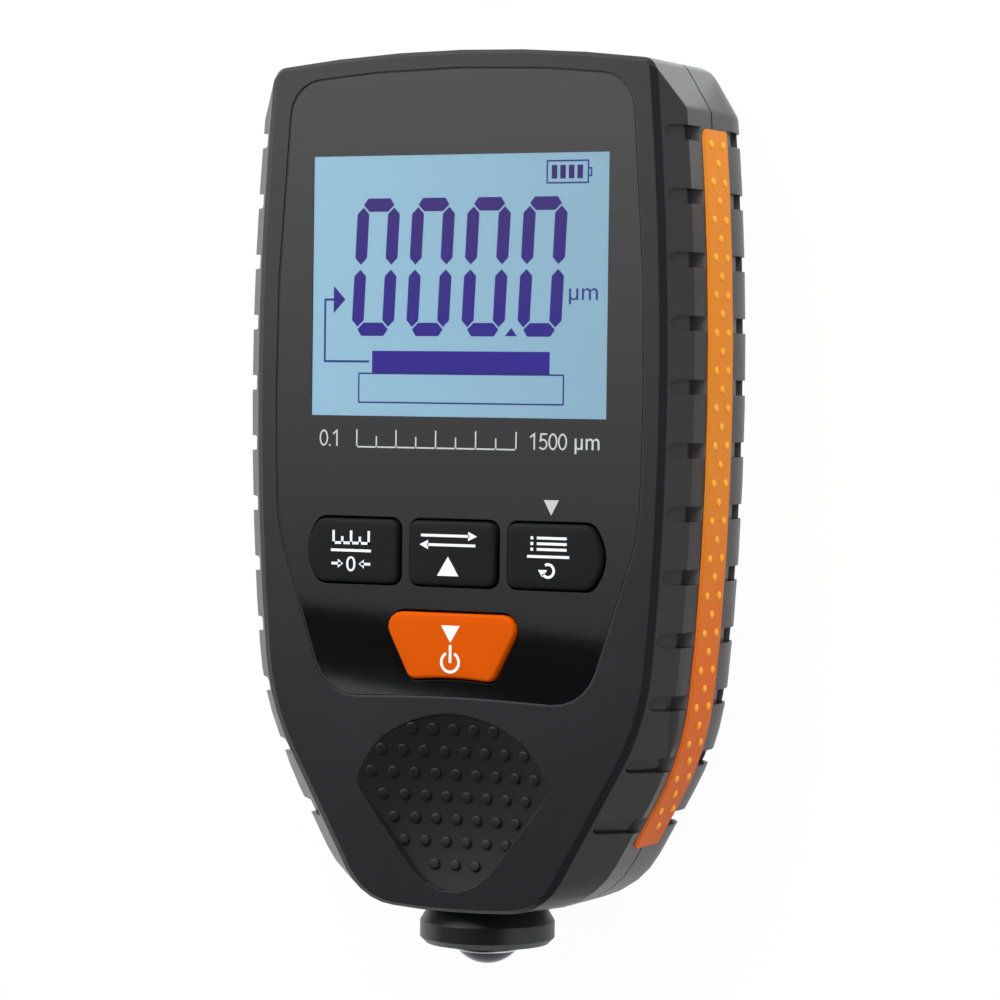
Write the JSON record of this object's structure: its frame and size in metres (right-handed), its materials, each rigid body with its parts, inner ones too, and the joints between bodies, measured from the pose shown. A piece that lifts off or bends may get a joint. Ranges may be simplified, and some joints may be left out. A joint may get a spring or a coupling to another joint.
{
  "type": "coating thickness gauge",
  "caption": "Handheld gauge with a rounded black case, orange grip strips, backlit display, press keys and a spring-loaded probe that measures paint or plating thickness.",
  "frame": {"origin": "centre of the bounding box in plan, at the flat back face on which the gauge lies", "axes": "+Z out of the display, +Y along the body towards the display end, -Y towards the probe, +X to the right seen from the front"},
  "size_m": [0.067, 0.1234, 0.0269],
  "materials": {
    "case_plastic": "fine matt spark-eroded texture",
    "grip_rubber": "satin soft rubber with small raised dots",
    "panel_acrylic": "gloss acrylic printed black on its back",
    "display_glass": "backlit pale blue display glass",
    "white_plastic": "moulded",
    "clear_acrylic": "polished",
    "led_body": "moulded",
    "contact_rubber": "striped silicone",
    "circuit_board": "solder mask",
    "chip_resin": "moulded resin",
    "steel_can": "nickel plated",
    "lead_sheath": "flexible sheath",
    "key_rubber": "satin black with white print",
    "power_key_rubber": "satin orange with white print",
    "plated_steel": "bright plated",
    "cell_jacket": "shrink sleeve",
    "collar_plastic": "satin turned acetal",
    "tip_steel": "polished hard chrome",
    "core_steel": "soft iron",
    "coil_copper": "enamelled wire wound"
  },
  "bodies": {
    "housing": {"front_shell": "case_plastic", "rear_shell": "case_plastic", "grip_left": "grip_rubber", "grip_right": "grip_rubber", "window_panel": "panel_acrylic", "lcd_glass": "display_glass", "lcd_frame": "white_plastic", "light_guide": "clear_acrylic", "backlight_leds": "led_body", "zebra_strip": "contact_rubber", "main_board": "circuit_board", "microcontroller": "chip_resin", "signal_amplifier": "chip_resin", "quartz_crystal": "steel_can", "probe_connector": "white_plastic", "probe_leads": "lead_sheath", "switch_zero": "chip_resin", "switch_units": "chip_resin", "switch_mode": "chip_resin", "switch_power": "chip_resin", "board_screws": "plated_steel", "case_screws": "plated_steel", "battery_left": "cell_jacket", "battery_right": "cell_jacket", "battery_link": "plated_steel", "battery_terminals": "plated_steel", "battery_springs": "plated_steel", "probe_bush": "collar_plastic", "probe_spring": "plated_steel"},
    "key_zero": {"key_zero": "key_rubber", "plunger_zero": "white_plastic"},
    "key_units": {"key_units": "key_rubber", "plunger_units": "white_plastic"},
    "key_mode": {"key_mode": "key_rubber", "plunger_mode": "white_plastic"},
    "key_power": {"key_power": "power_key_rubber", "plunger_power": "white_plastic"},
    "probe": {"probe_sleeve": "collar_plastic", "probe_clip": "plated_steel", "probe_tip": "tip_steel", "probe_core": "core_steel", "probe_bobbin": "white_plastic", "probe_coil": "coil_copper"},
    "battery_cover": {"battery_cover": "case_plastic"}
  },
  "joints": [
    {"name": "key_zero_press", "type": "slide", "parent": "housing", "child": "key_zero", "axis": [0, 0, -1], "range_m": [0, 0.0006], "stiffness_N_per_m": 800, "springref_m": -0.0006},
    {"name": "key_units_press", "type": "slide", "parent": "housing", "child": "key_units", "axis": [0, 0, -1], "range_m": [0, 0.0006], "stiffness_N_per_m": 800, "springref_m": -0.0006},
    {"name": "key_mode_press", "type": "slide", "parent": "housing", "child": "key_mode", "axis": [0, 0, -1], "range_m": [0, 0.0006], "stiffness_N_per_m": 800, "springref_m": -0.0006},
    {"name": "key_power_press", "type": "slide", "parent": "housing", "child": "key_power", "axis": [0, 0, -1], "range_m": [0, 0.0006], "stiffness_N_per_m": 800, "springref_m": -0.0006},
    {"name": "probe_slide", "type": "slide", "parent": "housing", "child": "probe", "axis": [0, 1, 0], "range_m": [0, 0.0015], "stiffness_N_per_m": 500, "springref_m": -0.002, "deforming": ["probe_spring"]},
    {"name": "battery_cover_slide", "type": "slide", "parent": "housing", "child": "battery_cover", "axis": [0, 1, 0], "range_m": [0, 0.056]}
  ]
}
